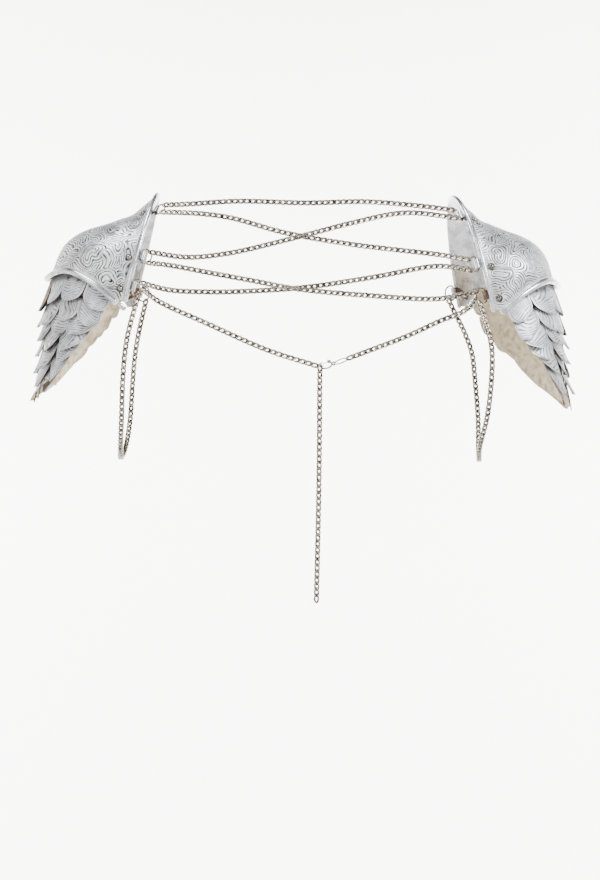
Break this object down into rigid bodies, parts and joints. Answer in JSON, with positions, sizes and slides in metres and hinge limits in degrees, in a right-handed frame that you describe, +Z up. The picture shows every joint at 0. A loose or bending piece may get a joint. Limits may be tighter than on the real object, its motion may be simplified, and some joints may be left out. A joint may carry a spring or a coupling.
{
  "type": "pair of leather pauldrons joined by chains",
  "caption": "Tooled silver leather shoulder caps with hanging feathers, joined by curb chains that cross the back and fasten with a lobster clasp.",
  "frame": {"origin": "midway between the shoulders, at the height and depth where the caps sit on them", "axes": "+X towards the wearer's right, +Y towards the wearer's front, +Z up"},
  "size_m": [0.4767, 0.1718, 0.3544],
  "materials": {
    "tooled_silver_leather": "silver foil, tooled and rubbed",
    "smooth_silver_rim": "smooth silver foil",
    "raw_brown_leather": "raw suede side",
    "nickel_plate": "bright nickel, worn"
  },
  "bodies": {
    "harness": {"left_cap": "tooled_silver_leather", "left_neck_rim": "smooth_silver_rim", "left_arm_rim": "smooth_silver_rim", "left_tail_backing": "raw_brown_leather", "left_feather_row_1": "tooled_silver_leather", "left_feather_row_2": "tooled_silver_leather", "left_feather_row_3": "tooled_silver_leather", "left_feather_row_4": "tooled_silver_leather", "left_feather_row_5": "tooled_silver_leather", "left_feather_row_6": "tooled_silver_leather", "left_feather_row_7": "tooled_silver_leather", "left_top_ring": "nickel_plate", "left_top_tab": "raw_brown_leather", "left_top_rivet": "nickel_plate", "left_mid_ring": "nickel_plate", "left_mid_tab": "raw_brown_leather", "left_mid_rivet": "nickel_plate", "left_low_ring": "nickel_plate", "left_low_tab": "raw_brown_leather", "left_low_rivet": "nickel_plate", "left_front_ring": "nickel_plate", "left_front_tab": "raw_brown_leather", "left_front_rivet": "nickel_plate", "right_cap": "tooled_silver_leather", "right_neck_rim": "smooth_silver_rim", "right_arm_rim": "smooth_silver_rim", "right_tail_backing": "raw_brown_leather", "right_feather_row_1": "tooled_silver_leather", "right_feather_row_2": "tooled_silver_leather", "right_feather_row_3": "tooled_silver_leather", "right_feather_row_4": "tooled_silver_leather", "right_feather_row_5": "tooled_silver_leather", "right_feather_row_6": "tooled_silver_leather", "right_feather_row_7": "tooled_silver_leather", "right_top_ring": "nickel_plate", "right_top_tab": "raw_brown_leather", "right_top_rivet": "nickel_plate", "right_mid_ring": "nickel_plate", "right_mid_tab": "raw_brown_leather", "right_mid_rivet": "nickel_plate", "right_low_ring": "nickel_plate", "right_low_tab": "raw_brown_leather", "right_low_rivet": "nickel_plate", "right_front_ring": "nickel_plate", "right_front_tab": "raw_brown_leather", "right_front_rivet": "nickel_plate", "top_chain": "nickel_plate", "upper_cross_chain_left": "nickel_plate", "upper_cross_chain_right": "nickel_plate", "lower_cross_chain_left": "nickel_plate", "lower_cross_chain_right": "nickel_plate", "clasp_chain_left": "nickel_plate", "clasp_chain_right": "nickel_plate", "extension_chain": "nickel_plate", "left_underarm_chain": "nickel_plate", "right_underarm_chain": "nickel_plate", "clasp_body": "nickel_plate", "jump_ring": "nickel_plate"},
    "clasp_lever": {"clasp_lever": "nickel_plate"}
  },
  "joints": [
    {"name": "clasp_lever_hinge", "type": "hinge", "parent": "harness", "child": "clasp_lever", "pos_m": [0.0212, -0.088, -0.11315], "axis": [0, -1, 0], "range_deg": [0, 25], "stiffness_Nm_per_rad": 0.002, "springref_deg": -20.05}
  ]
}
